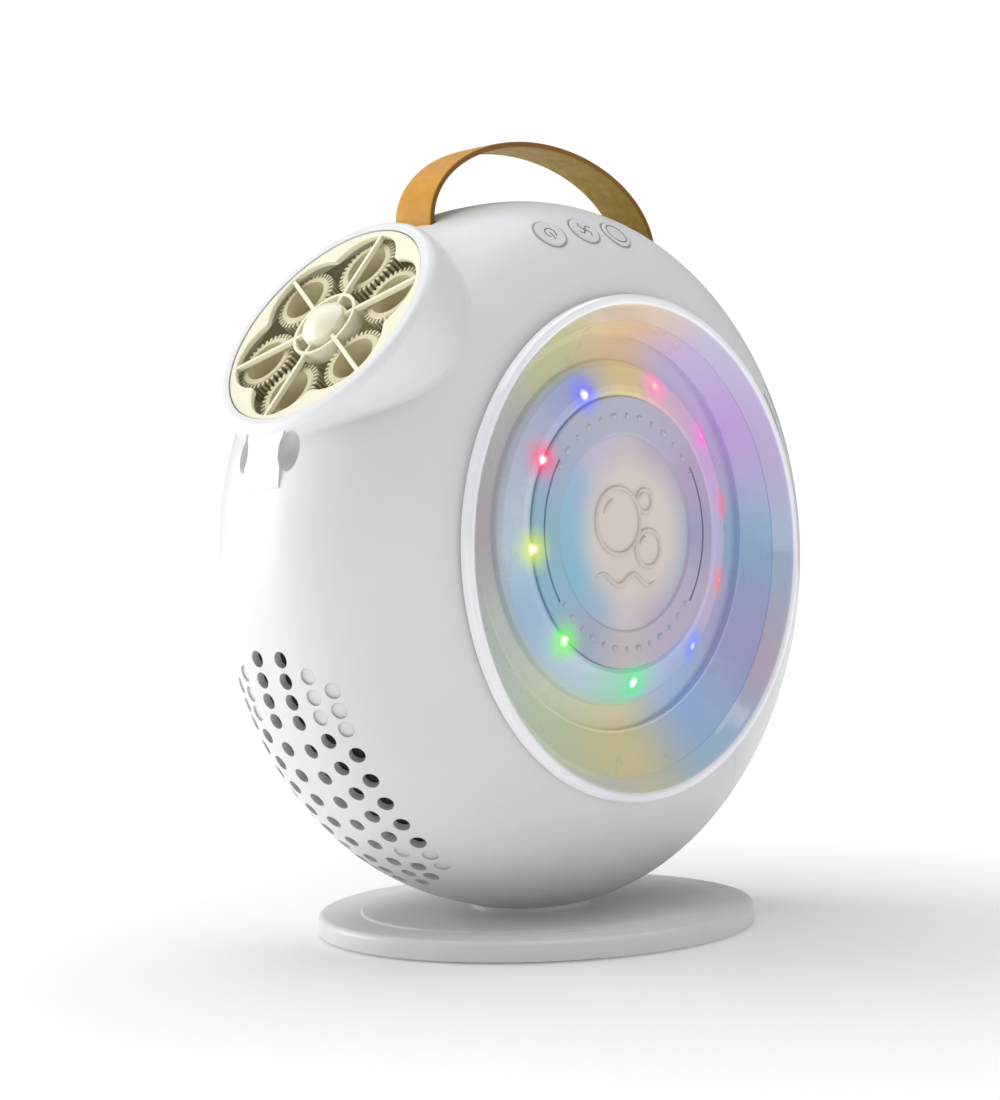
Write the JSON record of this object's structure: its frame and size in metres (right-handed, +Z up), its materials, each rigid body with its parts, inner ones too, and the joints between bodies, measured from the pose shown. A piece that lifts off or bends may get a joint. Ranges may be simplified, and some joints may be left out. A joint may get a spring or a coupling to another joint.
{
  "type": "bubble machine",
  "caption": "Round white bubble machine on an oval foot, with a ribbed wand wheel in a tilted head, a lit side dish, push buttons, a blower inside and a leather carrying strap.",
  "frame": {"origin": "on the underside of the foot, straight below the centre of the round body", "axes": "+Z up, -Y forwards where the bubbles leave, +X towards the light panel"},
  "size_m": [0.1224, 0.22, 0.245],
  "materials": {
    "shell_white": "satin moulded ABS",
    "base_white": "satin moulded ABS",
    "bezel_clear": "polished clear edge",
    "dish_milky": "milky translucent, lit from behind",
    "medallion_cream": "satin moulded disc",
    "guard_cream": "satin moulded ABS",
    "wand_cream": "satin moulded, ribbed",
    "chamber_cream": "moulded PP",
    "steel": "machined",
    "zinc_screw": "zinc plated",
    "brass_bush": "turned",
    "gear_white": "acetal",
    "inner_grey": "moulded inner part",
    "inner_black": "moulded inner part",
    "motor_can": "drawn can",
    "fan_white": "moulded rotor",
    "pcb_green": "solder mask",
    "led_epoxy": "clear epoxy",
    "cell_sleeve": "shrink sleeve",
    "speaker_paper": "pressed paper cone",
    "cloth_black": "dust cloth",
    "strap_tan": "smooth tan leather, dark back",
    "seal_rubber": "moulded silicone",
    "pad_rubber": "anti-slip foam rubber",
    "button_white": "satin moulded ABS"
  },
  "bodies": {
    "machine": {"front_shell": "shell_white", "rear_cover": "shell_white", "left_cover": "shell_white", "panel_bezel": "bezel_clear", "light_dish": "dish_milky", "medallion": "medallion_cream", "light_box": "inner_grey", "led_board": "pcb_green", "panel_leds": "led_epoxy", "solution_chamber": "chamber_cream", "chamber_seal": "seal_rubber", "wheel_bush": "brass_bush", "gear_plate": "inner_grey", "wheel_motor": "motor_can", "blower_housing": "inner_grey", "blower_cover": "inner_grey", "air_duct": "inner_grey", "fan_motor": "motor_can", "chassis": "inner_grey", "battery_cell": "cell_sleeve", "battery_cradle": "inner_black", "main_board": "pcb_green", "charge_port": "steel", "port_board": "pcb_green", "speaker_frame": "inner_black", "speaker_cone": "speaker_paper", "grille_cloth": "cloth_black", "button_switches": "inner_black", "button_board": "pcb_green", "strap": "strap_tan", "strap_anchors": "inner_grey", "base_plate": "base_white", "base_pad": "pad_rubber", "base_screws": "zinc_screw", "cover_screws": "zinc_screw"},
    "guard": {"guard": "guard_cream", "hub_cap": "guard_cream"},
    "wheel": {"bubble_wheel": "wand_cream", "wheel_shaft": "steel", "wheel_clip": "steel", "driven_gear": "gear_white"},
    "pinion_shaft": {"pinion": "gear_white", "motor_pin": "steel"},
    "fan": {"fan_impeller": "fan_white", "fan_shaft": "steel"},
    "power_button": {"power_button": "button_white"},
    "fan_button": {"fan_button": "button_white"},
    "light_button": {"light_button": "button_white"}
  },
  "joints": [
    {"name": "wheel_spin", "type": "hinge", "parent": "machine", "child": "wheel", "pos_m": [0, -0.08635, 0.18185], "axis": [0, -0.8221, 0.5693], "continuous": true},
    {"name": "pinion_spin", "type": "hinge", "parent": "machine", "child": "pinion_shaft", "pos_m": [-0.02, -0.08635, 0.18185], "axis": [0, -0.8221, 0.5693], "continuous": true},
    {"name": "fan_spin", "type": "hinge", "parent": "machine", "child": "fan", "pos_m": [0, -0.01501, 0.13732], "axis": [1, 0, 0], "continuous": true},
    {"name": "guard_twist", "type": "hinge", "parent": "machine", "child": "guard", "pos_m": [0, -0.08635, 0.18185], "axis": [0, -0.8221, 0.5693], "range_deg": [0, 15]},
    {"name": "power_press", "type": "slide", "parent": "machine", "child": "power_button", "axis": [-0.7352, 0.1777, -0.6541], "range_m": [0, 0.0008], "stiffness_N_per_m": 700, "springref_m": -0.0004},
    {"name": "fan_press", "type": "slide", "parent": "machine", "child": "fan_button", "axis": [-0.7352, 0.0732, -0.6738], "range_m": [0, 0.0008], "stiffness_N_per_m": 700, "springref_m": -0.0004},
    {"name": "light_press", "type": "slide", "parent": "machine", "child": "light_button", "axis": [-0.7352, -0.026, -0.6773], "range_m": [0, 0.0008], "stiffness_N_per_m": 700, "springref_m": -0.0004}
  ],
  "couplings": [
    {"joint": "pinion_spin", "follows": "wheel_spin", "ratio": -2.0769}
  ]
}
